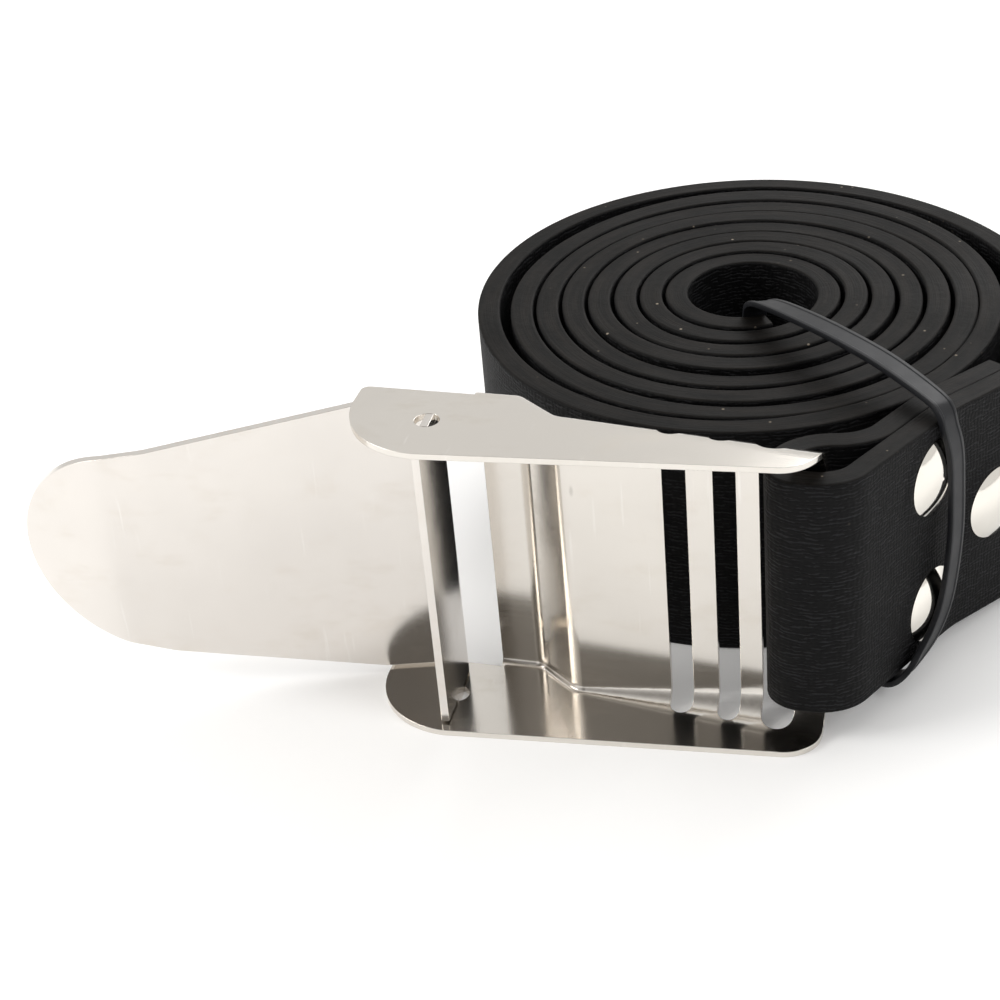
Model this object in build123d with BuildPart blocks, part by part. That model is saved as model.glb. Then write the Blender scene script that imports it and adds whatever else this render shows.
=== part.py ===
from build123d import *
from math import atan2, cos, degrees, radians, sin, tan
import os

# Rolled rubber dive weight belt with a quick-release cam buckle.
#
# The belt stands on its lower edge as a coil. Its outer end is looped round the end bar
# of the buckle and riveted back on itself. Everything is in millimetres, +Z up, with the
# origin on the resting surface under the middle of the whole part.

os.makedirs("parts", exist_ok=True)

# ---------------------------------------------------------------- driving dimensions
# rubber strap
STRAP_WIDTH = 50.0
STRAP_THICK = 4.6
TURN_GAP = 0.8             # mean air between the wound turns
OUTER_RADII = [62.4, 52.7, 52.6, 50.3, 48.2]   # quarter turns of the sprung outer turn
WOUND_RADIUS = 47.4        # first quarter turn inside them
QUARTER_TURNS = 26         # quarter turns wound evenly
DRIFT_X = -0.2             # how far the middle of the coil wanders in each turn
DRIFT_Y = 0.5
LAYER_GAP = 0.1            # between two layers that are riveted together

# buckle frame, one bent sheet
FRAME_WIDTH = 63.3         # across the outside of the two flanges
FRAME_SHEET = 1.2
PLATE_END = 65.2           # from the end bar's free edge to the plate's other edge
STEP_START = 48.7          # where the plate starts to step back
STEP_END = 57.0
STEP_DEPTH = 6.2           # how far the clamping plate lies behind the slotted plate
STEP_FILLET = 4.0
BEND_OUTER = 2.5           # outside radius of the flange bends beside the ears
BEND_BAR = 9.3             # the same at the end bar
BEND_WIDENS = 46.8         # from there to the end bar the bends widen evenly
FLANGE_FRONT = 10.9        # depth of the flanges at the end bar
FLANGE_SLOPE = 0.083       # extra depth per millimetre towards the ears
EAR_LENGTH = 86.8
EAR_REAR = 4.8
EAR_RADIUS = 16.3
EAR_CORNER = 1.5
CORNER_RADIUS = 7.5
SLOTS = [(5.8, 12.0, 5.2), (16.2, 20.4, 4.1), (25.3, 29.7, 3.4)]   # near edge, far edge, reach

# release lever, one bent sheet
PIVOT_X = -71.2            # from the end bar's free edge
PIVOT_Y = -5.3             # in front of the slotted plate
PIVOT_HOLE = 4.7
TAB_CLEAR = 0.05           # all round, between a tab's corners and its hole
TAB_DEPTH = 3.0
LEVER_SHEET = 1.5
LEVER_OPEN = 16.5          # how far short of straight back the lever stands, degrees
LEVER_SIDE = 29.9          # half the lever's width beside the ears
LEVER_HEEL = -12.0         # how far the blank reaches behind the pivot
LEVER_TAPER_START = 14.0
LEVER_TIP_CENTRE = 60.0
LEVER_TIP_RADIUS = 21.6
LEVER_OFFSET = 10.75       # middle of the lever plate behind the pivot line
LIP_REACH = 8.9            # cam lip beyond the pivot line
LIP_LEAN = 2.2
LIP_BEND = 4.0
TIP_BENDS = [(55.0, 0.0), (64.0, -1.6), (84.0, -9.3)]   # along the lever, out of its plane
TIP_BEND_RADIUS = 14.0

# rivets
RIVET_CAP = 15.0
RIVET_DOME = 2.4
RIVET_RIM = 0.5            # height of the cap's rim
RIVET_BACK = 11.0
RIVET_BACK_THICK = 1.1
RIVET_SPACING = 28.4
RIVET_HOLE = 4.2
RIVET_POST = 2.7
FIT = 0.05                 # radial clearance of socket in hole and post in socket
SEAT = 0.02                # between a rivet cap and the rubber

# cable tie
TIE_WIDTH = 4.8
TIE_THICK = 1.2
TIE_CLEAR = 0.7            # stands off the strap
TIE_ARCH = 58.6            # height of its middle line where it arches over the coil
TIE_HEAD = (5.0, 7.2, 8.0)
TIE_HEAD_HEIGHT = 24.0
TIE_AT = Vector(5.0, -10.0, 0)      # from the middle of the hole to the run inside it

# ---------------------------------------------------------------- placing
BAR_X = 59.72              # free edge of the end bar
PLATE_Y = -56.14           # front face of the slotted plate
MID_Z = FRAME_WIDTH / 2
BUCKLE_AT = Vector(BAR_X, PLATE_Y, 0)
PIVOT = BUCKLE_AT + Vector(PIVOT_X, PIVOT_Y, 0)
LOOP_LIFT = (FRAME_WIDTH - STRAP_WIDTH) / 2   # the belt is centred in the buckle
RAMP_LENGTH = 60.0         # over which the strap comes down to the coil's level


def buckle_plane(height):
    """Horizontal plane at a height, with its origin at the free edge of the end bar."""
    return Plane(origin=(BAR_X, PLATE_Y, height))


def lift_at(y):
    """How far the strap's lower edge stands above the surface near the buckle."""
    return LOOP_LIFT * max(0.0, 1 - (y - PLATE_Y) / RAMP_LENGTH)


# ---------------------------------------------------------------- strap route
# The strap's middle line is a list of ("line", length) and ("arc", radius, angle) steps,
# where a positive angle turns left. It starts inside the slot beside the end bar.
HALF = STRAP_THICK / 2
LAYER_STEP = STRAP_THICK + LAYER_GAP
FOLD_RADIUS = 4.7          # round the edge of the end bar
FOLD_LINE = 2.2            # along the front of the end bar
NOSE_RADIUS = 8.0          # round the free edge of the end bar
HEADING_PAIR = 68.0        # direction of the strap at the rivet pair
HEADING_REAR = 58.0        # direction at the rear rivet
PAIR_LINE = 30.0
PAIR_AT = 22.5             # rivet pair along its line
BOW_RADIUS = 30.0          # gentle bow between the pair and the rear rivet
TIE_BOW = -6.0             # the cable tie crosses the strap this far round the bow
REAR_LINE = 19.0
REAR_AT = 9.0              # rear rivet along its line
RETURN_RADIUS = 28.0       # back to the coil's direction
TAIL_JOIN = 17.0           # where the tail meets the rivet pair's line
TAIL_LEAN = 10.0           # how far short of a right angle the tail turns to the side
TAIL_SHORT = 1.0           # the tail ends this much before the end of the second line

# The tail leaves the slot, loops back and meets the riveted line from inside on two equal
# arcs, whose radius and first straight are worked out from where they meet it.
lean, meet = radians(TAIL_LEAN), radians(HEADING_PAIR)
join_x = FOLD_RADIUS + FOLD_LINE + (NOSE_RADIUS - LAYER_STEP) * sin(meet) + TAIL_JOIN * cos(meet)
join_y = NOSE_RADIUS - FOLD_RADIUS - (NOSE_RADIUS - LAYER_STEP) * cos(meet) + TAIL_JOIN * sin(meet)
TAIL_RADIUS = join_x / (1 - 2 * sin(lean) + sin(meet))
TAIL_START = join_y - TAIL_RADIUS * (2 * cos(lean) - cos(meet))

slot_mid = -(SLOTS[0][0] + SLOTS[0][1]) / 2
loop_start = BUCKLE_AT + Vector(slot_mid, FRAME_SHEET / 2, 0)
to_pair = [("arc", FOLD_RADIUS, 90.0), ("line", FOLD_LINE), ("arc", NOSE_RADIUS, HEADING_PAIR)]
to_bow = to_pair + [("line", PAIR_LINE)]
to_rear = to_bow + [("arc", BOW_RADIUS, HEADING_REAR - HEADING_PAIR)]
loop_route = to_rear + [("line", REAR_LINE), ("arc", RETURN_RADIUS, 90.0 - HEADING_REAR)]
tail_route = [
    ("line", TAIL_START),
    ("arc", TAIL_RADIUS, TAIL_LEAN - 90.0),
    ("arc", TAIL_RADIUS, HEADING_PAIR - TAIL_LEAN),
    ("line", PAIR_LINE - TAIL_JOIN),
    ("arc", BOW_RADIUS + LAYER_STEP, HEADING_REAR - HEADING_PAIR),
    ("line", REAR_LINE - TAIL_SHORT),
]
coil_route = [("arc", radius, 90.0) for radius in OUTER_RADII]
wound = WOUND_RADIUS
for quarter in range(QUARTER_TURNS):
    drift = [-DRIFT_X, -DRIFT_Y, DRIFT_X, DRIFT_Y][quarter % 4]
    coil_route.append(("arc", wound, 90.0))
    wound -= (STRAP_THICK + TURN_GAP) / 4 + drift / 2


def direction(heading):
    """Unit vector of a heading in degrees."""
    return Vector(cos(radians(heading)), sin(radians(heading)), 0)


def draw(start, heading, route, side=0.0):
    """Draw a route, moved sideways to its left; give its last point and heading."""
    here = start + direction(heading + 90) * side
    for kind, size, *turn in route:
        if kind == "line":
            step = Line(here, here + direction(heading) * size)
        else:
            radius = size - side if turn[0] > 0 else size + side
            step = JernArc(here, direction(heading), radius, turn[0])
            heading += turn[0]
        here = step @ 1
    return here, heading


def fill_strap(start, heading, route):
    """Fill a route's outline, as thick as the strap, in the open sketch."""
    with BuildLine() as outline:
        left_end, _ = draw(start, heading, route, HALF)
        right_end, _ = draw(start, heading, route, -HALF)
        across = direction(heading + 90) * HALF
        Line(left_end, right_end)
        Line(start + across, start - across)
    make_face(outline.edges())


def on_strap(route):
    """Point on the strap's middle and unit vector out of its outer face, after a route."""
    point, heading = draw(loop_start, -90.0, route)
    return point, direction(heading - 90)


outer_end, outer_heading = draw(loop_start, -90.0, loop_route)
coil_end, coil_heading = draw(outer_end, outer_heading, coil_route)
HOLE = coil_end - direction(coil_heading - 90) * coil_route[-1][1]
strap_length = sum(
    size * abs(radians(turn[0])) if turn else size
    for _, size, *turn in tail_route + loop_route + coil_route
)
print("strap length %.0f mm, hole centre %.2f %.2f" % (strap_length, HOLE.X, HOLE.Y))
print("free end %.2f %.2f" % (coil_end.X, coil_end.Y))

# ---------------------------------------------------------------- rivet places
pair_point, pair_out = on_strap(to_pair + [("line", PAIR_AT)])
rear_point, rear_out = on_strap(to_rear + [("line", REAR_AT)])
pair_z = STRAP_WIDTH / 2 + lift_at(pair_point.Y)
rear_z = STRAP_WIDTH / 2 + lift_at(rear_point.Y)
RIVETS = {
    "upper": (pair_point + Vector(0, 0, pair_z + RIVET_SPACING / 2), pair_out),
    "lower": (pair_point + Vector(0, 0, pair_z - RIVET_SPACING / 2), pair_out),
    "rear": (rear_point + Vector(0, 0, rear_z), rear_out),
}

# ---------------------------------------------------------------- cable tie plane
# The tie is a closed loop in an upright plane, from inside the hole to outside the strap.
tie_point, tie_out = on_strap(to_bow + [("arc", BOW_RADIUS, TIE_BOW)])
tie_outer = tie_point + tie_out * (HALF + TIE_THICK / 2 + TIE_CLEAR)
tie_inner = HOLE + TIE_AT
tie_run = tie_outer - tie_inner
TIE_SPAN = tie_run.length
tie_plane = Plane(origin=tie_inner, x_dir=tie_run, z_dir=tie_run.cross(Vector(0, 0, 1)))

# ---------------------------------------------------------------- rubber strap
RAMP_FRONT = PLATE_Y - 20
RAMP_END = PLATE_Y + RAMP_LENGTH
RAMP_BACK = RAMP_END + 60
LOOP_REACH = 60            # the loop lies this near to the end bar's free edge
GROOVE_CLEAR = 0.3         # beside the cable tie
GROOVE_DEPTH = TIE_THICK + 0.1

with BuildPart() as rubber_strap:
    with BuildSketch(Plane.XY):
        fill_strap(loop_start, -90.0, loop_route)
        fill_strap(loop_start, 90.0, tail_route)
    extrude(amount=STRAP_WIDTH + LOOP_LIFT)
    # the loop comes down from the middle of the buckle to the coil's level
    with BuildSketch(Plane.YZ.offset(BAR_X)):
        with BuildLine():
            lower = Polyline(
                (RAMP_FRONT, LOOP_LIFT), (PLATE_Y, LOOP_LIFT), (RAMP_END, 0), (RAMP_BACK, 0)
            )
            upper = Polyline(
                (RAMP_FRONT, LOOP_LIFT + STRAP_WIDTH),
                (PLATE_Y, LOOP_LIFT + STRAP_WIDTH),
                (RAMP_END, STRAP_WIDTH),
                (RAMP_BACK, STRAP_WIDTH),
            )
            Line(lower @ 0, upper @ 0)
            Line(lower @ 1, upper @ 1)
        make_face()
    extrude(amount=LOOP_REACH, both=True, mode=Mode.INTERSECT)
    with BuildSketch(Plane.XY):
        fill_strap(outer_end, outer_heading, coil_route)
    extrude(amount=STRAP_WIDTH)
    # the rubber is pressed in where the cable tie passes under the coil
    with BuildSketch(Plane(origin=tie_inner, x_dir=tie_run)):
        with Locations((TIE_SPAN / 2, 0)):
            Rectangle(TIE_SPAN + 20, TIE_WIDTH + 2 * GROOVE_CLEAR)
    extrude(amount=GROOVE_DEPTH, mode=Mode.SUBTRACT)
    for place, out in RIVETS.values():
        with BuildSketch(Plane(origin=place, z_dir=out)):
            Circle(RIVET_HOLE / 2)
        extrude(amount=LAYER_STEP + HALF + 1, both=True, mode=Mode.SUBTRACT)
rubber_strap.part.label = "rubber_strap"

# ---------------------------------------------------------------- rivets, two pieces each
SOCKET_R = RIVET_HOLE / 2 - FIT
POST_R = RIVET_POST / 2
BORE_R = POST_R + FIT
CAP_R = RIVET_CAP / 2
DOME_RISE = RIVET_DOME - RIVET_RIM
DOME_R = (CAP_R**2 + DOME_RISE**2) / (2 * DOME_RISE)
BACK_FACE = -(STRAP_THICK + LAYER_STEP + 2 * SEAT)   # where the back head meets the tail


def rivet_cap(seat):
    """Hollow domed cap with the tubular socket that grips the post."""
    with BuildPart() as cap:
        with BuildSketch(seat):
            with BuildLine():
                Polyline(
                    (0, RIVET_DOME),
                    (0, RIVET_RIM),
                    (BORE_R, RIVET_RIM),
                    (BORE_R, -STRAP_THICK),
                    (SOCKET_R, -STRAP_THICK),
                    (SOCKET_R, 0),
                    (CAP_R, 0),
                    (CAP_R, RIVET_RIM),
                )
                RadiusArc((CAP_R, RIVET_RIM), (0, RIVET_DOME), -DOME_R)
            make_face()
        revolve(axis=Axis(seat.origin, seat.y_dir))
    return cap


def rivet_post(seat):
    """Flat back head with the post that runs through both layers into the cap."""
    with BuildPart() as post:
        with BuildSketch(seat):
            with Locations((0, BACK_FACE)):
                Rectangle(RIVET_BACK / 2, RIVET_BACK_THICK, align=(Align.MIN, Align.MAX))
                Rectangle(POST_R, -BACK_FACE, align=(Align.MIN, Align.MIN))
        revolve(axis=Axis(seat.origin, seat.y_dir))
    return post


for name, (place, out) in RIVETS.items():
    across = out.cross(Vector(0, 0, 1))
    seat = Plane(origin=place + out * (HALF + SEAT), x_dir=across, z_dir=across.cross(out))
    cap = rivet_cap(seat)
    cap.part.label = "rivet_cap_" + name
    export_step(cap.part, "parts/rivet_cap_" + name + ".step")
    post = rivet_post(seat)
    post.part.label = "rivet_post_" + name
    export_step(post.part, "parts/rivet_post_" + name + ".step")

# ---------------------------------------------------------------- cable tie
TIE_TOP_OUTER = STRAP_WIDTH + lift_at(tie_point.Y) + 2.0
ARCH_AT = 6.0              # top of the arch, outwards from the run inside the hole
HEAD_SIDE = 2.6            # middle of the ratchet head, on the other side of that run

with BuildPart() as cable_tie:
    with BuildSketch(tie_plane):
        with BuildLine() as tie_line:
            FilletPolyline(
                (0, TIE_THICK / 2),
                (TIE_SPAN, TIE_THICK / 2),
                (TIE_SPAN, TIE_TOP_OUTER),
                (ARCH_AT, TIE_ARCH),
                (0, STRAP_WIDTH),
                radius=[2.5, 3.5, 3.0, 6.0, 2.5],
                close=True,
            )
        make_face()
        offset(amount=TIE_THICK / 2, kind=Kind.ARC)
        with BuildSketch(tie_plane, mode=Mode.SUBTRACT):
            add(tie_line.wire())
            make_face()
            offset(amount=-TIE_THICK / 2, kind=Kind.ARC)
    extrude(amount=TIE_WIDTH / 2, both=True)
    with BuildSketch(tie_plane):
        with Locations((-HEAD_SIDE, TIE_HEAD_HEIGHT)):
            RectangleRounded(TIE_HEAD[0], TIE_HEAD[2], 0.8)
    extrude(amount=TIE_HEAD[1] / 2, both=True)
cable_tie.part.label = "cable_tie"

# ---------------------------------------------------------------- buckle frame
STEP_SHIFT = tan(atan2(STEP_DEPTH, STEP_END - STEP_START) / 2)
EAR_TOP_X = -(EAR_LENGTH - EAR_RADIUS)
BEYOND = 5.0               # how far cutting shapes run past what they cut


def flange_front(x):
    """Local y of a flange's front edge."""
    return -(FLANGE_FRONT - FLANGE_SLOPE * x)


def plate_corners(setback):
    """Corners of the stepped plate's front face, or of a face set back from it."""
    shift = setback * STEP_SHIFT
    return [
        (-STEP_START + shift, setback),
        (-STEP_END + shift, STEP_DEPTH + setback),
    ]


def soften_steps(sketch, setback):
    """Round the two long bends of the stepped plate."""
    for corner in plate_corners(setback):
        fillet(sketch.vertices().sort_by_distance(Vector(*corner))[0], STEP_FILLET)


def back_edges(part, level):
    """Edges along the back of the plate at one height."""
    chosen = []
    for edge in part.edges():
        middle = buckle_plane(0).to_local_coords(edge.center())
        along_back = 0.5 - PLATE_END < middle.X < -0.5 and middle.Y > -0.5
        if along_back and abs(middle.Z - level) < 0.01:
            chosen.append(edge)
    return chosen


def widening_bends(inset):
    """What the widening bends take off the corners of a block, or of one inset from it."""
    corner_y, corner_z = FRAME_SHEET - inset, MID_Z - inset
    with BuildPart() as shavings:
        for x in (-BEND_WIDENS, BEYOND):
            radius = BEND_BAR + (BEND_BAR - BEND_OUTER) * x / BEND_WIDENS - inset
            middle = BUCKLE_AT + Vector(x, 0, MID_Z)
            with BuildSketch(Plane(origin=middle, x_dir=(0, 1, 0), z_dir=(1, 0, 0))):
                with BuildLine() as outline:
                    start, end = (corner_y - radius, corner_z), (corner_y, corner_z - radius)
                    RadiusArc(start, end, radius)
                    Polyline(
                        end,
                        (corner_y + BEYOND, corner_z - radius),
                        (corner_y + BEYOND, corner_z + BEYOND),
                        (corner_y - radius, corner_z + BEYOND),
                        start,
                    )
                make_face(outline.edges())
        loft(ruled=True)
        mirror(about=Plane.XY.offset(MID_Z))
    return shavings.part


# the space inside the channel, taken out of the outer block
with BuildPart() as channel_space:
    with BuildSketch(buckle_plane(FRAME_SHEET)) as space_outline:
        with BuildLine():
            Polyline(
                (BEYOND, 0),
                *plate_corners(0),
                (-PLATE_END, STEP_DEPTH),
                (-PLATE_END, STEP_DEPTH + 3 * BEYOND),
                (-EAR_LENGTH - BEYOND, STEP_DEPTH + 3 * BEYOND),
                (-EAR_LENGTH - BEYOND, flange_front(-EAR_LENGTH) - BEYOND),
                (BEYOND, flange_front(-EAR_LENGTH) - BEYOND),
                close=True,
            )
        make_face()
        soften_steps(space_outline, 0)
    extrude(amount=FRAME_WIDTH - 2 * FRAME_SHEET)
    for level in (FRAME_SHEET, FRAME_WIDTH - FRAME_SHEET):
        fillet(back_edges(channel_space.part, level), BEND_OUTER - FRAME_SHEET)
    add(widening_bends(FRAME_SHEET), mode=Mode.SUBTRACT)

with BuildPart() as buckle_frame:
    with BuildSketch(buckle_plane(0)) as flange_outline:
        with BuildLine():
            corner_side = (0, flange_front(0) + CORNER_RADIUS)
            corner_front = (-CORNER_RADIUS, flange_front(-CORNER_RADIUS))
            ear_front = (EAR_TOP_X, flange_front(EAR_TOP_X))
            ear_side = (-EAR_LENGTH, flange_front(EAR_TOP_X) + EAR_RADIUS)
            Line((0, FRAME_SHEET), corner_side)
            RadiusArc(corner_side, corner_front, CORNER_RADIUS)
            Line(corner_front, ear_front)
            RadiusArc(ear_front, ear_side, EAR_RADIUS)
            Polyline(
                ear_side,
                (-EAR_LENGTH, EAR_REAR),
                (-PLATE_END, EAR_REAR),
                (-PLATE_END, STEP_DEPTH + FRAME_SHEET),
                *reversed(plate_corners(FRAME_SHEET)),
                (0, FRAME_SHEET),
            )
        make_face()
        soften_steps(flange_outline, FRAME_SHEET)
        ear_corner = Vector(-EAR_LENGTH, EAR_REAR)
        fillet(flange_outline.vertices().sort_by_distance(ear_corner)[0], EAR_CORNER)
    extrude(amount=FRAME_WIDTH)
    for level in (0, FRAME_WIDTH):
        fillet(back_edges(buckle_frame.part, level), BEND_OUTER)
    add(widening_bends(0), mode=Mode.SUBTRACT)
    add(channel_space.part, mode=Mode.SUBTRACT)
    # strap slots, which run on through the bends into the flanges, and the ear holes
    with BuildSketch(buckle_plane(-1)):
        for near, far, reach in SLOTS:
            slot_radius = (far - near) / 2
            with Locations((-(near + far) / 2, slot_radius - reach)):
                Circle(slot_radius)
                Rectangle(far - near, reach + BEYOND, align=(Align.CENTER, Align.MIN))
        with Locations((PIVOT_X, PIVOT_Y)):
            Circle(PIVOT_HOLE / 2)
    extrude(amount=FRAME_WIDTH + 2, mode=Mode.SUBTRACT)
buckle_frame.part.label = "buckle_frame"

# ---------------------------------------------------------------- release lever
lever_along = direction(180 + LEVER_OPEN)
lever_out = direction(270 + LEVER_OPEN)
LIP_ANGLE = degrees(atan2(LIP_REACH, LIP_LEAN))
LIP_SLOPE = LIP_LEAN / LIP_REACH
TAB_WIDTH = ((PIVOT_HOLE - 2 * TAB_CLEAR) ** 2 - LEVER_SHEET**2) ** 0.5


def lever_plane(height):
    """Horizontal plane at a height, centred on the pivot, with x along the lever."""
    return Plane(origin=PIVOT + Vector(0, 0, height), x_dir=lever_along)


with BuildPart() as release_lever:
    # the bent sheet seen on edge
    with BuildSketch(lever_plane(MID_Z - LEVER_SIDE)):
        with BuildLine():
            FilletPolyline(
                (LIP_LEAN, LIP_REACH),
                (-LEVER_OFFSET * LIP_SLOPE, -LEVER_OFFSET),
                *[(x, y - LEVER_OFFSET) for x, y in TIP_BENDS],
                radius=[LIP_BEND, TIP_BEND_RADIUS, TIP_BEND_RADIUS],
            )
        trace(line_width=LEVER_SHEET)
    extrude(amount=2 * LEVER_SIDE)
    # the blank's outline: straight beside the ears, tapered, with a round thumb tip
    blank_middle = PIVOT + Vector(0, 0, MID_Z)
    with BuildSketch(Plane(origin=blank_middle, x_dir=lever_along, z_dir=lever_out)):
        with Locations(((LEVER_TAPER_START + LEVER_HEEL) / 2, 0)):
            Rectangle(LEVER_TAPER_START - LEVER_HEEL, 2 * LEVER_SIDE)
        with Locations((LEVER_TIP_CENTRE, 0)):
            Circle(LEVER_TIP_RADIUS)
        make_hull()
    extrude(amount=LEVER_TIP_RADIUS * 2, both=True, mode=Mode.INTERSECT)
    # flat tabs that turn in the ears' round holes, flush with the ears
    for start in (0, FRAME_WIDTH - TAB_DEPTH):
        with BuildSketch(lever_plane(start)):
            with Locations(Location((0, 0, 0), (0, 0, LIP_ANGLE))):
                Rectangle(TAB_WIDTH, LEVER_SHEET)
        extrude(amount=TAB_DEPTH)
release_lever.part.label = "release_lever"

# ---------------------------------------------------------------- write
for piece in (rubber_strap, cable_tie, buckle_frame, release_lever):
    export_step(piece.part, "parts/" + piece.part.label + ".step")
    box = piece.part.bounding_box()
    print(piece.part.label, box.min, box.max)
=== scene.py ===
from math import ceil, cos, exp, pi, radians, sin

import bpy
from mathutils import Matrix, Vector, noise


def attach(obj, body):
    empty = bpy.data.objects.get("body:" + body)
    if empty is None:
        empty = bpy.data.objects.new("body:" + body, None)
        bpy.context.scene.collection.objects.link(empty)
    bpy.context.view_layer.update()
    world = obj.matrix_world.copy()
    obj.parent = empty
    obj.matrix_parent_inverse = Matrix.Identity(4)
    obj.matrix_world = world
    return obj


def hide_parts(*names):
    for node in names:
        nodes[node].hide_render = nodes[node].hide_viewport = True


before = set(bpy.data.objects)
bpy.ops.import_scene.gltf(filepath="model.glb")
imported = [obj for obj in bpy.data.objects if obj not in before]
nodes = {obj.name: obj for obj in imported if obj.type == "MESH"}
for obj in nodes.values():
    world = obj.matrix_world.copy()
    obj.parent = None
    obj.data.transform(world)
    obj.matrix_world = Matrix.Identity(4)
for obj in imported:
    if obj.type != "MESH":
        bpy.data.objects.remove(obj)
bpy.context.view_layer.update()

# Rolled dive weight belt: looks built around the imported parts.
# Lengths below are in millimetres, and MM turns them into Blender's metres.
MM = 0.001
UP = Vector((0, 0, 1))

# ---------------------------------------------------------------- dimensions of the design
# rubber strap
STRAP_WIDTH = 50.0
STRAP_THICK = 4.6
TURN_GAP = 0.8             # mean air between the wound turns
OUTER_RADII = [62.4, 52.7, 52.6, 50.3, 48.2]   # quarter turns of the sprung outer turn
WOUND_RADIUS = 47.4        # first quarter turn inside them
QUARTER_TURNS = 26         # quarter turns wound evenly
DRIFT_X = -0.2             # how far the middle of the coil wanders in each turn
DRIFT_Y = 0.5
END_RADIUS = 12.6          # the strap's inner end curls on a little behind the tie
END_TURN = 36.0
LAYER_GAP = 0.1            # between two layers that are riveted together
HALF = STRAP_THICK / 2
LAYER_STEP = STRAP_THICK + LAYER_GAP

# buckle, rivets and cable tie
FRAME_WIDTH = 63.3         # across the outside of the two flanges
FRAME_SHEET = 1.2
FIRST_SLOT = (5.8, 12.0)   # its two edges, from the end bar's free edge
RIVET_CAP = 15.0
RIVET_SPACING = 28.4
TIE_WIDTH = 4.8
TIE_THICK = 1.2
TIE_FROM_HOLE = Vector((4.4, -9.7, 0))      # from the hole's middle to the band inside it

# placing
BAR_X = 59.72              # free edge of the end bar
PLATE_Y = -56.14           # front face of the slotted plate
BUCKLE_AT = Vector((BAR_X, PLATE_Y, 0))
LOOP_LIFT = (FRAME_WIDTH - STRAP_WIDTH) / 2    # the belt is centred in the buckle
RAMP_LENGTH = 60.0         # over which the strap comes down to the coil's level

# riveted loop and tail
FOLD_RADIUS = 4.7          # round the edge of the end bar
FOLD_LINE = 2.2            # along the front of the end bar
NOSE_RADIUS = 8.0          # round the free edge of the end bar
HEADING_PAIR = 68.0        # direction of the strap at the rivet pair
HEADING_REAR = 58.0        # direction at the rear rivet
PAIR_LINE = 30.0
PAIR_AT = 22.5             # rivet pair along its line
BOW_RADIUS = 30.0          # gentle bow between the pair and the rear rivet
REAR_LINE = 19.0
REAR_AT = 9.0              # rear rivet along its line
RETURN_RADIUS = 28.0       # back to the coil's direction
TAIL_JOIN = 17.0           # where the tail meets the rivet pair's line
TAIL_LEAN = 10.0           # how far short of a right angle the tail turns to the side
TAIL_SHORT = 1.0           # the tail ends this much before the end of the second line


# ---------------------------------------------------------------- strap route
# A route is a list of ("line", length) and ("arc", radius, angle) steps, where a positive
# angle turns left. The strap's starts inside the slot beside the end bar.
STATION = 5.0              # rough spacing of the marks where only a place is looked up
ARC_STEP = 6.0             # most degrees between two marks on an arc


def direction(heading):
    """Unit vector of a heading in degrees."""
    return Vector((cos(radians(heading)), sin(radians(heading)), 0))


def lift_at(y):
    """How far the strap's lower edge stands above the surface near the buckle."""
    return LOOP_LIFT * max(0.0, 1 - (y - PLATE_Y) / RAMP_LENGTH)


def stations(start, heading, route, spacing):
    """Marks (point, heading, distance) along a route, about every spacing millimetres."""
    marks, here, gone = [], start.copy(), 0.0
    for kind, size, *turn in route:
        angle = turn[0] if turn else 0.0
        length = size * radians(abs(angle)) if turn else size
        count = max(ceil(length / spacing), ceil(abs(angle) / ARC_STEP))
        side = 90 if angle > 0 else -90
        centre = here + direction(heading + side) * size
        for i in range(count):
            share = i / count
            if turn:
                now = heading + angle * share
                marks.append((centre - direction(now + side) * size, now, gone + length * share))
            else:
                marks.append((here + direction(heading) * size * share, heading, gone + length * share))
        here = here + direction(heading) * size
        if turn:
            heading += angle
            here = centre - direction(heading + side) * size
        gone += length
    marks.append((here, heading, gone))
    return marks


# the tail meets the riveted line from inside on two equal arcs
lean, meet = radians(TAIL_LEAN), radians(HEADING_PAIR)
join_x = FOLD_RADIUS + FOLD_LINE + (NOSE_RADIUS - LAYER_STEP) * sin(meet) + TAIL_JOIN * cos(meet)
join_y = NOSE_RADIUS - FOLD_RADIUS - (NOSE_RADIUS - LAYER_STEP) * cos(meet) + TAIL_JOIN * sin(meet)
TAIL_RADIUS = join_x / (1 - 2 * sin(lean) + sin(meet))
TAIL_START = join_y - TAIL_RADIUS * (2 * cos(lean) - cos(meet))
loop_start = BUCKLE_AT + Vector((-sum(FIRST_SLOT) / 2, FRAME_SHEET / 2, 0))
to_pair = [("arc", FOLD_RADIUS, 90.0), ("line", FOLD_LINE), ("arc", NOSE_RADIUS, HEADING_PAIR)]
to_bow = to_pair + [("line", PAIR_LINE)]
to_rear = to_bow + [("arc", BOW_RADIUS, HEADING_REAR - HEADING_PAIR)]
loop_route = to_rear + [("line", REAR_LINE), ("arc", RETURN_RADIUS, 90.0 - HEADING_REAR)]
tail_route = [
    ("line", TAIL_START),
    ("arc", TAIL_RADIUS, TAIL_LEAN - 90.0),
    ("arc", TAIL_RADIUS, HEADING_PAIR - TAIL_LEAN),
    ("line", PAIR_LINE - TAIL_JOIN),
    ("arc", BOW_RADIUS + LAYER_STEP, HEADING_REAR - HEADING_PAIR),
    ("line", REAR_LINE - TAIL_SHORT),
]
coil_route = [("arc", radius, 90.0) for radius in OUTER_RADII]
wound = WOUND_RADIUS
for quarter in range(QUARTER_TURNS):
    drift = [-DRIFT_X, -DRIFT_Y, DRIFT_X, DRIFT_Y][quarter % 4]
    coil_route.append(("arc", wound, 90.0))
    wound -= (STRAP_THICK + TURN_GAP) / 4 + drift / 2


def on_strap(route):
    """Point on the strap's middle, its heading, and the way out of its outer face."""
    point, heading, _ = stations(loop_start, -90.0, route, STATION)[-1]
    return point, heading, direction(heading - 90)


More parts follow.
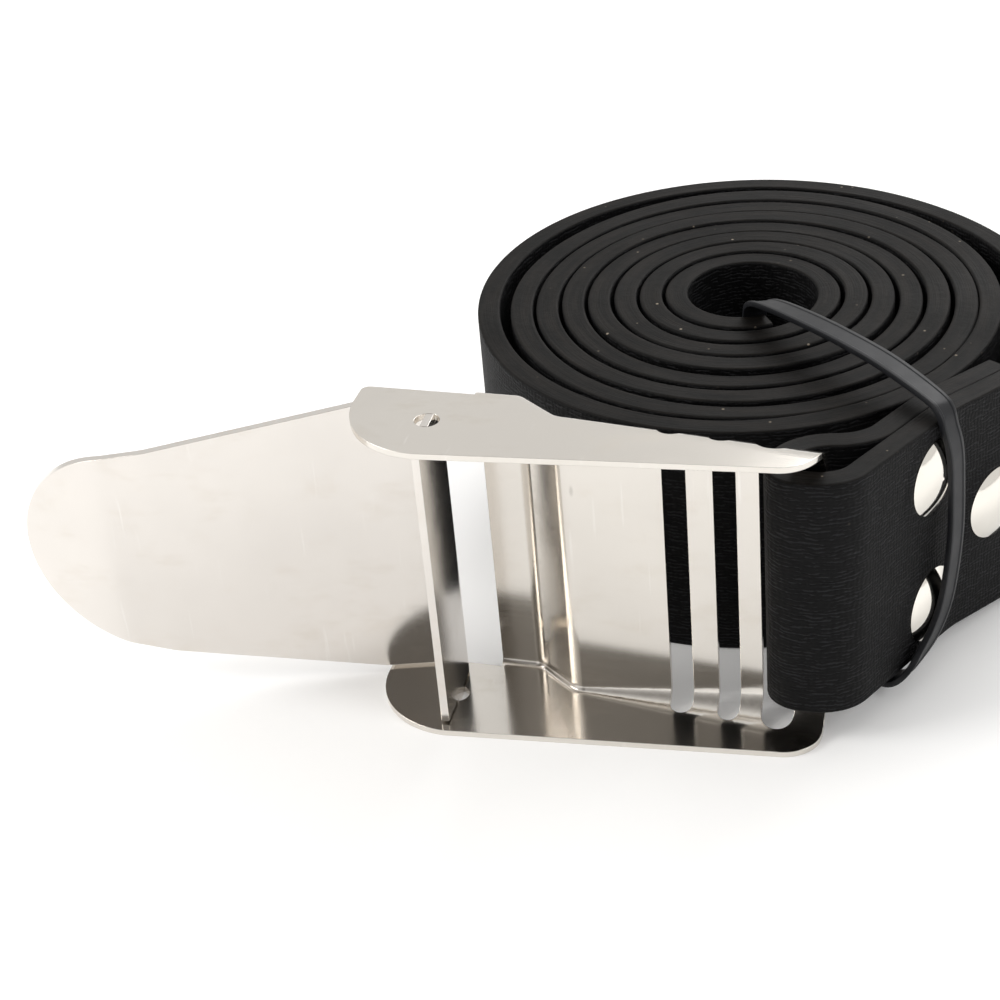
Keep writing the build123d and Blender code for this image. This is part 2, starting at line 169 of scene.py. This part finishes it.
pair_point, _, pair_out = on_strap(to_pair + [("line", PAIR_AT)])
rear_point, _, rear_out = on_strap(to_rear + [("line", REAR_AT)])
pair_z = STRAP_WIDTH / 2 + lift_at(pair_point.y)
rear_z = STRAP_WIDTH / 2 + lift_at(rear_point.y)
RIVETS = {
    "upper": (pair_point + UP * (pair_z + RIVET_SPACING / 2), pair_out),
    "lower": (pair_point + UP * (pair_z - RIVET_SPACING / 2), pair_out),
    "rear": (rear_point + UP * rear_z, rear_out),
}

# the cable tie comes out of the hole along its front wall, and goes under the strap at its foot
PAIR_ALONG = FOLD_RADIUS * pi / 2 + FOLD_LINE + NOSE_RADIUS * meet + PAIR_AT
coil_start, coil_heading, _ = on_strap(loop_route)
end_point, end_heading, _ = stations(coil_start, coil_heading, coil_route, STATION)[-1]
HOLE = end_point - direction(end_heading - 90) * coil_route[-1][1]
TIE_WALL = HOLE + TIE_FROM_HOLE
coil_route.append(("arc", END_RADIUS, END_TURN))


def outer_run(along, height, off):
    """A place beside the riveted strap: along the loop, its height, its clearance."""
    shorter, left = [], along
    for kind, size, *turn in loop_route:
        length = size * radians(abs(turn[0])) if turn else size
        if left <= length:
            shorter.append((kind, size, turn[0] * left / length) if turn else (kind, left))
            break
        shorter.append((kind, size, *turn))
        left -= length
    point, _, out = on_strap(shorter)
    return point + out * (HALF + TIE_THICK / 2 + off) + UP * height, out


FOOT_BEFORE_PAIR = 11.5    # along the strap, from the rivet pair towards the buckle
FOOT_UNDER = 1.0           # how far the band is in under the strap's outer face there
TIE_OUTER_FOOT = outer_run(PAIR_ALONG - FOOT_BEFORE_PAIR, 0, -FOOT_UNDER)[0]


# ---------------------------------------------------------------- mesh helpers
def build_mesh(name, points, faces):
    """A new smooth-shaded object from points in millimetres."""
    mesh = bpy.data.meshes.new(name)
    mesh.from_pydata([tuple(p * MM) for p in points], [], faces)
    mesh.validate()
    mesh.update()
    mesh.shade_smooth()
    piece = bpy.data.objects.new(name, mesh)
    bpy.context.scene.collection.objects.link(piece)
    return piece


def skin_rings(rings):
    """Points and faces of a closed tube through rings of equal size, capped at both ends."""
    size = len(rings[0])
    points = [p for ring in rings for p in ring]
    faces = []
    for r in range(len(rings) - 1):
        a, b = r * size, (r + 1) * size
        for i in range(size):
            j = (i + 1) % size
            faces.append((a + i, a + j, b + j, b + i))
    last = (len(rings) - 1) * size
    faces.append(tuple(reversed(range(size))))
    faces.append(tuple(last + i for i in range(size)))
    return points, faces


# ---------------------------------------------------------------- rubber strap
EDGE_ROUND = 0.42          # the strap's cut edges
CORNER_STEPS = 3
EDGE_STRIP = 1.0           # from a cut edge to the first row of points on the face
EDGE_FLAT = 0.25           # between a rounded corner and the next ring on the cut edge
ROW_STEP = 1.6             # rows of points up the strap's faces
SPACING_FINE = 0.9         # rings along the riveted loop
SPACING_COIL = 2.0
EASE_LENGTH = 40.0         # over which the coil's unevenness grows from nothing
HEIGHT_WAVE = 0.42         # how unevenly the turns' edges stand
SWAY = 0.16                # how unevenly the turns lie beside each other
SWAY_LENGTH = 31.0
FACE_WAVE = 0.22           # unevenness of a turn's own faces and edges
FACE_WAVE_LENGTH = 34.0
FACE_WAVE_HEIGHT = 60.0
BULGE = 0.42               # how far the rubber is squeezed up round a rivet cap
BULGE_WIDTH = 1.3
BULGE_OUTSIDE = 0.7        # its crest, outside the cap's rim
BULGE_UNDER = 1.2          # it starts this far under the rim
SINK = 0.05                # how far the rubber gives under a cap
TIE_ROOM = 0.3             # between the tie and the strap's pressed-in lower edge
TIE_SIDE = 0.5             # how far beside the tie the edge is pressed in too


def strap_profile():
    """The strap's section as (out, height) pairs, counter-clockwise, with rounded corners."""
    corner = []
    for i in range(CORNER_STEPS + 1):
        turn = radians(90 * i / CORNER_STEPS)
        corner.append((EDGE_ROUND * (1 - sin(turn)), EDGE_ROUND * (1 - cos(turn))))
    face = STRAP_WIDTH - 2 * EDGE_STRIP
    rows = round(face / ROW_STEP)
    climb = [EDGE_STRIP + face * i / rows for i in range(rows + 1)]
    ends = [EDGE_ROUND + EDGE_FLAT, STRAP_THICK - EDGE_ROUND - EDGE_FLAT]
    outer = [(HALF - x, z) for x, z in corner]
    outer += [(HALF, z) for z in climb]
    outer += [(HALF - x, STRAP_WIDTH - z) for x, z in reversed(corner)]
    outer += [(HALF - x, STRAP_WIDTH) for x in ends]
    inner = [(-x, STRAP_WIDTH - z) for x, z in outer]
    return outer + inner


def coil_share(gone, loop_length):
    """0 on the riveted loop, 1 once the strap is well into the coil."""
    share = min(1.0, max(0.0, (gone - loop_length) / EASE_LENGTH))
    return share * share * (3 - 2 * share)


def turn_height(gone):
    """How much higher than flush a place along the strap stands: three long waves, added up.

    The sum is never more than 2.6, so the strap never reaches below the flush height.
    """
    slow = sin(gone / 71.0 + 0.4) + sin(gone / 43.0 + 2.1) + 0.6 * sin(gone / 19.0)
    return HEIGHT_WAVE * (1 + slow / 2.6)


def rivet_bulge(point):
    """How far the rubber bulges outwards round a rivet cap."""
    bulge = 0.0
    for place, _ in RIVETS.values():
        away = (point - place).length
        rim = RIVET_CAP / 2
        if away > rim - BULGE_UNDER:
            bulge += BULGE * exp(-(((away - rim - BULGE_OUTSIDE) / BULGE_WIDTH) ** 2))
        else:
            bulge -= SINK
    return bulge


def beside_tie(point):
    """How far a place is from the tie's run under the coil, seen from above."""
    run = TIE_WALL - TIE_OUTER_FOOT
    away = Vector((point.x, point.y, 0)) - TIE_OUTER_FOOT
    share = min(1.0, max(0.0, away.dot(run) / run.length_squared))
    return (away - run * share).length


def make_strap():
    """The whole strap as one closed strip: tail, loop round the end bar, coil."""
    tail = stations(loop_start, 90.0, tail_route, SPACING_FINE)
    loop = stations(loop_start, -90.0, loop_route, SPACING_FINE)
    loop_length = loop[-1][2]
    coil = stations(loop[-1][0], loop[-1][1], coil_route, SPACING_COIL)
    marks = [(p, h + 180, -gone) for p, h, gone in reversed(tail[1:])] + loop
    marks += [(p, h, gone + loop_length) for p, h, gone in coil[1:]]
    profile = strap_profile()
    # noise is read at places along the strap; its other, fixed coordinates only pick a pattern
    rings, places = [], []
    for point, heading, gone in marks:
        out = direction(heading - 90)
        share = coil_share(gone, loop_length)
        lift = lift_at(point.y) if gone <= loop_length else 0.0
        lift += share * turn_height(gone)
        sway = SWAY * noise.noise(Vector((gone / SWAY_LENGTH, 5.2, 1.7)))
        ring = []
        for x, z in profile:
            wave_at = Vector((gone / FACE_WAVE_LENGTH, z / FACE_WAVE_HEIGHT, 7.3 + (x > 0)))
            wave = FACE_WAVE * share * noise.noise(wave_at)
            p = point + out * (x + sway * share) + UP * (z + lift + wave)
            on_outer_face = x > HALF - 0.01
            if on_outer_face and 0 < gone < loop_length:
                p += out * rivet_bulge(p - out * HALF)
            if z < EDGE_STRIP and beside_tie(p) < TIE_WIDTH / 2 + TIE_SIDE:
                p.z = max(p.z, TIE_THICK + TIE_ROOM)
            ring.append(p)
            places.append((gone, z, x))
        rings.append(ring)
    points, faces = skin_rings(rings)
    strap = build_mesh("strap", points, faces)
    place = strap.data.attributes.new("strap_place", "FLOAT_VECTOR", "POINT")
    place.data.foreach_set("vector", [v * MM for triple in places for v in triple])
    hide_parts("rubber_strap")
    return strap


# ---------------------------------------------------------------- cable tie
TIE_HOLLOW = 0.16          # how far the band's outer face is sunk between its rims
TIE_RIM = 0.72             # width of each rim, with its corner
TIE_RIM_SLOPE = 0.23
TIE_CORNER = 0.18          # where its rounded corners start, and the point between
TIE_EASE_ACROSS = 0.05
TIE_EASE_OUT = 0.06
TIE_CREASE = 32.0          # edges sharper than this stay sharp, degrees
SPAN_POINTS = 8            # points of the band between two points of its route
WALL_HEADING = 112.0       # from the hole's wall at the band towards the middle, degrees


def tie_section():
    """The band's section as (across, out) pairs: flat inside, raised rims outside."""
    w, t = TIE_WIDTH / 2, TIE_THICK / 2
    half = [
        (0, t - TIE_HOLLOW),
        (w - TIE_RIM - TIE_RIM_SLOPE, t - TIE_HOLLOW),
        (w - TIE_RIM, t),
        (w - TIE_CORNER, t),
        (w - TIE_EASE_ACROSS, t - TIE_EASE_OUT),
        (w, t - TIE_CORNER),
        (w, TIE_CORNER - t),
        (w - TIE_EASE_ACROSS, TIE_EASE_OUT - t),
        (w - TIE_CORNER, -t),
        (0, -t),
    ]
    return half + [(-x, y) for x, y in reversed(half[1:-1])]


def smooth_path(points, per_span):
    """Catmull-Rom points through a closed list of vectors."""
    found = []
    count = len(points)
    for i in range(count):
        a, b, c, d = (points[(i + k) % count] for k in (-1, 0, 1, 2))
        for j in range(per_span):
            t = j / per_span
            found.append(
                0.5 * (2 * b + (c - a) * t + (2 * a - 5 * b + 4 * c - d) * t * t
                       + (3 * b - a - 3 * c + d) * t**3)
            )
    return found


def make_tie():
    """The locked cable tie: over the coil, slanting down outside the rivets, and back under."""
    back = direction(WALL_HEADING)
    # up the wall of the hole; a point comes with the way in which the band's outer face looks
    route = [(TIE_WALL + UP * height, back) for height in (14, 30, 44, 50)]
    # over the coil, from the hole's wall outwards
    for x, y, z, way in [
        (1.0, -1.4, 53.2, back + UP * 0.9),
        (4.6, -5.0, 55.2, UP + back * 0.2),
        (12.8, -13.0, 56.9, UP),
        (22.0, -21.2, 57.6, UP),
        (31.0, -29.0, 57.4, UP),
    ]:
        route.append((TIE_WALL + Vector((x, y, z)), way))
    # down the riveted strap: from the rivet pair along it, height, clearance, upward tilt
    for along, height, off, tip in [
        (5.6, 56.8, -4.2, 3.0),
        (4.0, 55.6, -0.6, 1.0),
        (3.5, 52.4, 0.9, 0.25),
        (3.8, 48.0, 1.9, 0),
        (3.8, 42.0, 2.4, 0),
        (3.2, 30.0, 2.9, 0),
        (1.4, 18.0, 2.6, 0),
        (-1.4, 11.5, 2.0, -0.1),
        (-5.2, 7.4, 1.1, -0.3),
        (-9.4, 4.3, -0.1, -0.8),
    ]:
        point, out = outer_run(PAIR_ALONG + along, height, off)
        route.append((point, out + UP * tip))
    # back to the hole under the strap, as a share of the way
    for share, height in [(0.05, 2.0), (0.16, 0.9), (0.4, 0.7), (0.7, 0.7), (0.95, 0.8)]:
        low = TIE_OUTER_FOOT.lerp(TIE_WALL, share)
        route.append((low + UP * height, -UP))
    route.append((TIE_WALL + Vector((0, 0.2, 2.6)), back - UP * 0.6))
    places = smooth_path([p for p, _ in route], SPAN_POINTS)
    ways = smooth_path([w.normalized() for _, w in route], SPAN_POINTS)
    section = tie_section()
    rings = []
    for i, place in enumerate(places):
        along = (places[(i + 1) % len(places)] - places[i - 1]).normalized()
        way = (ways[i] - along * ways[i].dot(along)).normalized()
        across = along.cross(way)
        rings.append([place + across * x + way * y for x, y in section])
    size = len(section)
    points = [p for ring in rings for p in ring]
    faces = []
    for r in range(len(rings)):
        a, b = r * size, ((r + 1) % len(rings)) * size
        for i in range(size):
            j = (i + 1) % size
            faces.append((a + j, a + i, b + i, b + j))
    tie = build_mesh("tie_band", points, faces)
    tie.data.set_sharp_from_angle(angle=radians(TIE_CREASE))
    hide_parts("cable_tie")
    return tie


# ---------------------------------------------------------------- materials
# Colours are linear, noise scales are per metre.
WEAVE_ROW = 0.8            # the canvas impression's rows, up the strap
WEAVE_THREAD = 0.95        # its threads, along the strap
WEAVE_DEPTH = 0.22
EDGE_EASE = 0.16           # how far the bent sheets' edges look rounded over
FACE_COLOURS = (0.0022, 0.0022, 0.0025, 1), (0.0044, 0.0044, 0.0048, 1)
# painted sheen on the canvas impression's ridges, much lighter than the black faces
RIDGE_SHEEN_COLOUR = (0.0165, 0.0168, 0.0185, 1)
CUT_COLOURS = (0.0016, 0.0014, 0.0012, 1), (0.0082, 0.0066, 0.0054, 1)
DUST_COLOUR = (0.30, 0.255, 0.20, 1)
FRAME_TINT = (0.77, 0.735, 0.685, 1)
LEVER_TINT = (0.77, 0.735, 0.695, 1)
STAIN_TINT = (0.84, 0.80, 0.74)                # times the sheet's own tint
HAIR_COLOUR = (0.9, 0.88, 0.85, 1)
NICK_COLOUR = (0.25, 0.23, 0.2, 1)
NICKEL_COLOURS = (0.80, 0.765, 0.70, 1), (0.88, 0.85, 0.79, 1)
NYLON_COLOURS = (0.007, 0.0075, 0.009, 1), (0.013, 0.014, 0.017, 1)
PAPER_COLOURS = (0.93, 0.93, 0.93, 1), (0.95, 0.95, 0.95, 1)
ROOM_COLOURS = (0.80, 0.79, 0.775, 1), (0.15, 0.142, 0.134, 1)


def new_material(name):
    """A new material with its node tree and its shader."""
    material = bpy.data.materials.new(name)
    material.use_nodes = True
    tree = material.node_tree
    shader = tree.nodes["Principled BSDF"]
    return material, tree, shader


def add(tree, kind, inputs=(), **settings):
    """Add a node; inputs pairs a socket's name or number with a value or another socket."""
    node = tree.nodes.new("ShaderNode" + kind)
    for key, value in settings.items():
        setattr(node, key, value)
    for key, value in inputs:
        if isinstance(value, bpy.types.NodeSocket):
            tree.links.new(value, node.inputs[key])
        else:
            node.inputs[key].default_value = value
    return node


def maths(tree, operation, a, b=0.0, c=0.0):
    """The result of a maths node."""
    return add(tree, "Math", [(0, a), (1, b), (2, c)], operation=operation).outputs[0]


def ramp(tree, value, low, high, start=0.0, end=1.0):
    """Smoothly from start to end while value goes from low to high."""
    inputs = [("Value", value), ("From Min", low), ("From Max", high), ("To Min", start), ("To Max", end)]
    return add(tree, "MapRange", inputs, interpolation_type="SMOOTHSTEP").outputs["Result"]


def mix_colour(tree, factor, a, b):
    """Mix two colours."""
    node = add(tree, "Mix", data_type="RGBA")
    for socket, value in ((node.inputs[0], factor), (node.inputs[6], a), (node.inputs[7], b)):
        if isinstance(value, bpy.types.NodeSocket):
            tree.links.new(value, socket)
        else:
            socket.default_value = value
    return node.outputs[2]


def grain(tree, vector, scale, detail=3.0, rough=0.55):
    """Noise from 0 to 1."""
    inputs = [("Vector", vector), ("Scale", scale), ("Detail", detail), ("Roughness", rough)]
    return add(tree, "TexNoise", inputs).outputs["Fac"]


def stretched(tree, vector, scale):
    """A vector scaled unevenly."""
    return add(tree, "VectorMath", [(0, vector), (1, scale)], operation="MULTIPLY").outputs[0]


def rubber_material():
    """Black rubber: canvas impression on the faces, smooth dusty brown-black cut edges."""
    material, tree, shader = new_material("strap_rubber")
    place = add(tree, "Attribute", attribute_name="strap_place").outputs["Vector"]
    split = add(tree, "SeparateXYZ", [(0, place)])
    along, height, out = split.outputs
    solid = add(tree, "TexCoord").outputs["Object"]
    # 1 on the wide faces, 0 on the cut edges
    middle = STRAP_WIDTH / 2
    off_middle = maths(tree, "ABSOLUTE", maths(tree, "SUBTRACT", height, middle * MM))
    face = ramp(tree, off_middle, (middle - 0.35) * MM, (middle - 0.1) * MM, 1, 0)
    # canvas impression: rows broken into short dashes that wander a little
    # the third coordinate is far apart on the two faces, so their patterns differ
    side = maths(tree, "MULTIPLY", out, 40.0)
    flat = add(tree, "CombineXYZ", [(0, along), (1, height), (2, side)]).outputs[0]
    wander = grain(tree, flat, 330.0, 3.0)
    shifted = maths(tree, "MULTIPLY", wander, 13.0)
    rows = maths(tree, "SINE", maths(tree, "MULTIPLY_ADD", height, 2 * pi / (WEAVE_ROW * MM), shifted))
    dashes = grain(tree, stretched(tree, flat, (520.0, 1500.0, 300.0)), 1.0, 2.0, 0.5)
    broken = ramp(tree, dashes, 0.42, 0.6)
    turned = maths(tree, "MULTIPLY_ADD", along, 2 * pi / (WEAVE_THREAD * MM), shifted)
    threads = maths(tree, "SINE", turned)
    broken = maths(tree, "MULTIPLY_ADD", broken, 0.9, 0.1)
    weave = maths(tree, "MULTIPLY", ramp(tree, rows, -0.5, 0.9), broken)
    weave = maths(tree, "MULTIPLY_ADD", threads, 0.12, weave)
    # cut edge: fine drag lines along the strap and a little unevenness
    drag = grain(tree, stretched(tree, place, (60.0, 900.0, 2600.0)), 1.0, 4.0)
    lumps = grain(tree, solid, 420.0, 4.0, 0.6)
    edge = maths(tree, "MULTIPLY_ADD", drag, 0.5, maths(tree, "MULTIPLY", lumps, 0.5))
    relief = maths(tree, "MULTIPLY_ADD", face, maths(tree, "SUBTRACT", weave, edge), edge)
    bump = add(tree, "Bump", [("Height", relief), ("Distance", WEAVE_DEPTH * MM), ("Strength", 0.8)])
    tree.links.new(bump.outputs[0], shader.inputs["Normal"])
    # colour: black faces with a painted sheen on the thread ridges, browner edges, pale dust specks
    cloudy = grain(tree, solid, 55.0, 5.0)
    patches = ramp(tree, cloudy, 0.35, 0.7)
    tone = mix_colour(tree, patches, *FACE_COLOURS)
    # painted highlight: the weave's ridges are lightened as if they caught the light, so the rows between
    # them look shaded
    ridge_sheen = ramp(tree, weave, 0.3, 0.95, 0.0, 0.9)
    tone = mix_colour(tree, ridge_sheen, tone, RIDGE_SHEEN_COLOUR)
    smears = ramp(tree, grain(tree, stretched(tree, place, (70.0, 400.0, 500.0)), 1.0, 4.0), 0.35, 0.7)
    cut = mix_colour(tree, smears, *CUT_COLOURS)
    tone = mix_colour(tree, face, cut, tone)
    # one speck in a cell, in about a fifth of the cells
    cells = add(tree, "TexVoronoi", [("Vector", solid), ("Scale", 420.0)])
    lone = ramp(tree, add(tree, "SeparateColor", [(0, cells.outputs["Color"])]).outputs[0], 0.78, 0.8)
    fleck = ramp(tree, cells.outputs["Distance"], 0.07, 0.16, 1, 0)
    dust = maths(tree, "MULTIPLY", maths(tree, "MULTIPLY", fleck, lone), ramp(tree, cloudy, 0.45, 0.62))
    dust = maths(tree, "MULTIPLY", dust, maths(tree, "MULTIPLY_ADD", face, -0.75, 0.85))
    tone = mix_colour(tree, dust, tone, DUST_COLOUR)
    tree.links.new(tone, shader.inputs["Base Color"])
    rough = maths(tree, "MULTIPLY_ADD", cloudy, 0.2, 0.5)
    tree.links.new(maths(tree, "MULTIPLY_ADD", face, 0.05, rough), shader.inputs["Roughness"])
    shader.inputs["Specular IOR Level"].default_value = 0.13
    return material


def steel_material(name, tint, roughness, scratch):
    """Polished stainless sheet: bright, faintly warm, finely scratched, with eased edges.

    The tint is its colour, scratch how much the drawn lines roughen it.
    """
    material, tree, shader = new_material(name)
    solid = add(tree, "TexCoord").outputs["Object"]
    cloudy = grain(tree, solid, 38.0, 4.0)
    fine = grain(tree, solid, 900.0, 3.0)
    drawn = grain(tree, stretched(tree, solid, (70.0, 2200.0, 1500.0)), 1.0, 3.0)
    # lone nicks, one in about fifteen cells
    long_cells = stretched(tree, solid, (1.0, 1.0, 0.35))
    nicks = add(tree, "TexVoronoi", [("Vector", long_cells), ("Scale", 150.0)])
    lone = ramp(tree, add(tree, "SeparateColor", [(0, nicks.outputs["Color"])]).outputs[0], 0.93, 0.95)
    nick = maths(tree, "MULTIPLY", ramp(tree, nicks.outputs["Distance"], 0.02, 0.09, 1, 0), lone)
    duller = tuple(c * 0.955 for c in tint[:3]) + (1,)
    colour = mix_colour(tree, ramp(tree, cloudy, 0.3, 0.75), tint, duller)
    # faint warm stains and pale hair scratches
    stain = grain(tree, stretched(tree, solid, (75.0, 120.0, 150.0)), 1.0, 6.0, 0.65)
    warm = tuple(c * share for c, share in zip(tint, STAIN_TINT)) + (1,)
    colour = mix_colour(tree, ramp(tree, stain, 0.5, 0.72, 0.0, 0.28), colour, warm)
    hair = grain(tree, stretched(tree, solid, (900.0, 60.0, 40.0)), 1.0, 2.0)
    colour = mix_colour(tree, ramp(tree, hair, 0.66, 0.74, 0.0, 0.3), colour, HAIR_COLOUR)
    colour = mix_colour(tree, maths(tree, "MULTIPLY", nick, 0.55), colour, NICK_COLOUR)
    tree.links.new(colour, shader.inputs["Base Color"])
    shader.inputs["Metallic"].default_value = 1.0
    rough = maths(tree, "MULTIPLY_ADD", cloudy, roughness * 0.5, roughness * 0.72)
    rough = maths(tree, "MULTIPLY_ADD", drawn, scratch, rough)
    rough = maths(tree, "MULTIPLY_ADD", ramp(tree, stain, 0.45, 0.75), 0.05, rough)
    tree.links.new(rough, shader.inputs["Roughness"])
    relief = maths(tree, "MULTIPLY_ADD", drawn, 0.5, maths(tree, "MULTIPLY", fine, 0.5))
    relief = maths(tree, "SUBTRACT", relief, maths(tree, "MULTIPLY", nick, 3.0))
    # fine relief on the eased edges, and the sheet's own broad waves
    eased = add(tree, "Bevel", [("Radius", EDGE_EASE * MM)], samples=6)
    bump = add(tree, "Bump", [("Height", relief), ("Distance", 0.004 * MM), ("Strength", 0.5),
                              ("Normal", eased.outputs[0])])
    waves = grain(tree, solid, 26.0, 2.0)
    broad = add(tree, "Bump", [("Height", waves), ("Distance", 0.11 * MM), ("Strength", 0.6),
                               ("Normal", bump.outputs[0])])
    tree.links.new(broad.outputs[0], shader.inputs["Normal"])
    return material


def nickel_material():
    """Bright nickel plate on the rivets, cloudy and very finely uneven."""
    material, tree, shader = new_material("rivet_nickel")
    solid = add(tree, "TexCoord").outputs["Object"]
    cloudy = grain(tree, solid, 160.0, 3.0)
    fine = grain(tree, solid, 1500.0, 2.0)
    colour = mix_colour(tree, cloudy, *NICKEL_COLOURS)
    tree.links.new(colour, shader.inputs["Base Color"])
    shader.inputs["Metallic"].default_value = 1.0
    tree.links.new(maths(tree, "MULTIPLY_ADD", cloudy, 0.05, 0.045), shader.inputs["Roughness"])
    bump = add(tree, "Bump", [("Height", fine), ("Distance", 0.004 * MM), ("Strength", 0.4)])
    tree.links.new(bump.outputs[0], shader.inputs["Normal"])
    return material


def nylon_material():
    """Black nylon of the cable tie, slightly waxy and very finely uneven."""
    material, tree, shader = new_material("tie_nylon")
    solid = add(tree, "TexCoord").outputs["Object"]
    cloudy = grain(tree, solid, 300.0, 4.0)
    fine = grain(tree, solid, 1600.0, 2.0)
    colour = mix_colour(tree, cloudy, *NYLON_COLOURS)
    tree.links.new(colour, shader.inputs["Base Color"])
    tree.links.new(maths(tree, "MULTIPLY_ADD", cloudy, 0.2, 0.34), shader.inputs["Roughness"])
    bump = add(tree, "Bump", [("Height", fine), ("Distance", 0.02 * MM), ("Strength", 0.25)])
    tree.links.new(bump.outputs[0], shader.inputs["Normal"])
    shader.inputs["Specular IOR Level"].default_value = 0.28
    return material


def floor_material():
    """Plain matt white paper."""
    material, tree, shader = new_material("floor_paper")
    solid = add(tree, "TexCoord").outputs["Object"]
    fibres = grain(tree, solid, 900.0, 3.0)
    colour = mix_colour(tree, fibres, *PAPER_COLOURS)
    tree.links.new(colour, shader.inputs["Base Color"])
    shader.inputs["Roughness"].default_value = 0.9
    shader.inputs["Specular IOR Level"].default_value = 0.1
    shader.inputs["Emission Color"].default_value = (1, 1, 1, 1)
    shader.inputs["Emission Strength"].default_value = 0.1   # a little light of its own
    return material


def paint(piece, material):
    """Give a piece one material."""
    piece.data.materials.clear()
    piece.data.materials.append(material)


# ---------------------------------------------------------------- pieces
strap = make_strap()
paint(strap, rubber_material())
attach(strap, "belt")

tie = make_tie()
paint(tie, nylon_material())
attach(tie, "belt")

frame_steel = steel_material("frame_steel", FRAME_TINT, roughness=0.13, scratch=0.06)
lever_steel = steel_material("lever_steel", LEVER_TINT, roughness=0.16, scratch=0.05)
nickel = nickel_material()
paint(nodes["buckle_frame"], frame_steel)
paint(nodes["release_lever"], lever_steel)
for name in RIVETS:
    paint(nodes["rivet_cap_" + name], nickel)
    paint(nodes["rivet_post_" + name], nickel)


# ---------------------------------------------------------------- floor, light, camera
FLOOR_SIDE = 6.0           # metres

bpy.ops.mesh.primitive_plane_add(size=FLOOR_SIDE, location=(0, 0, 0))
floor = bpy.context.object
floor.name = "floor"
paint(floor, floor_material())

CAMERA_AT = Vector((BAR_X + 53.4, PLATE_Y - 330.1, 267.7)) * MM
CAMERA_TURN = radians(19.05)      # to the left of straight along +Y
CAMERA_DOWN = radians(32.66)
CAMERA_ROLL = radians(5.41)
CAMERA_LENS = 80.7                # on a sensor 36 mm wide
ahead = Vector((-sin(CAMERA_TURN), cos(CAMERA_TURN), 0))
forward = ahead * cos(CAMERA_DOWN) - UP * sin(CAMERA_DOWN)
level = Vector((cos(CAMERA_TURN), sin(CAMERA_TURN), 0))
down = forward.cross(level)
right = level * cos(CAMERA_ROLL) + down * sin(CAMERA_ROLL)
image_down = down * cos(CAMERA_ROLL) - level * sin(CAMERA_ROLL)
camera_data = bpy.data.cameras.new("camera")
camera_data.lens = CAMERA_LENS
camera_data.sensor_width = 36
camera_data.clip_start = 0.01
camera = bpy.data.objects.new("camera", camera_data)
turned_to = Matrix((right, -image_down, -forward)).transposed().to_4x4()
camera.matrix_world = Matrix.Translation(CAMERA_AT) @ turned_to
bpy.context.scene.collection.objects.link(camera)
bpy.context.scene.camera = camera


def soft_light(name, at, aim, size, power, colour=(1, 1, 1)):
    """A square studio softbox. The place, aim and size are in metres, the power in watts."""
    data = bpy.data.lights.new(name, "AREA")
    data.shape = "SQUARE"
    data.size = size
    data.energy = power
    data.color = colour
    lamp = bpy.data.objects.new(name, data)
    lamp.location = at
    lamp.rotation_mode = "QUATERNION"
    lamp.rotation_quaternion = (Vector(aim) - Vector(at)).to_track_quat("-Z", "Y")
    bpy.context.scene.collection.objects.link(lamp)


soft_light("softbox_left", (-0.9, -0.35, 0.75), (0, 0, 0.02), 0.6, 7.0, (1.0, 0.985, 0.96))
soft_light("softbox_back", (0.25, 1.0, 0.9), (0, 0, 0.02), 0.8, 7.0)
soft_light("softbox_right", (0.95, -0.25, 0.8), (0, 0, 0.02), 0.5, 3.5)

# the room is pale all round, with a darker patch on the side that the camera stands on
PATCH_EDGE = 0.62                 # cosine of the angle off its middle where it ends
PATCH_FULL = 0.93                 # and where it is full
world = bpy.data.worlds.new("room")
bpy.context.scene.world = world
world.use_nodes = True
sky = world.node_tree
background = sky.nodes["Background"]
way = add(sky, "TexCoord").outputs["Generated"]
toward = add(sky, "VectorMath", [(0, way), (1, tuple(-forward))], operation="DOT_PRODUCT").outputs["Value"]
patch = ramp(sky, toward, PATCH_EDGE, PATCH_FULL)
room = mix_colour(sky, patch, *ROOM_COLOURS)
sky.links.new(room, background.inputs["Color"])
background.inputs["Strength"].default_value = 1.0

scene_view = bpy.context.scene.view_settings
scene_view.view_transform = "Standard"
scene_view.look = "None"
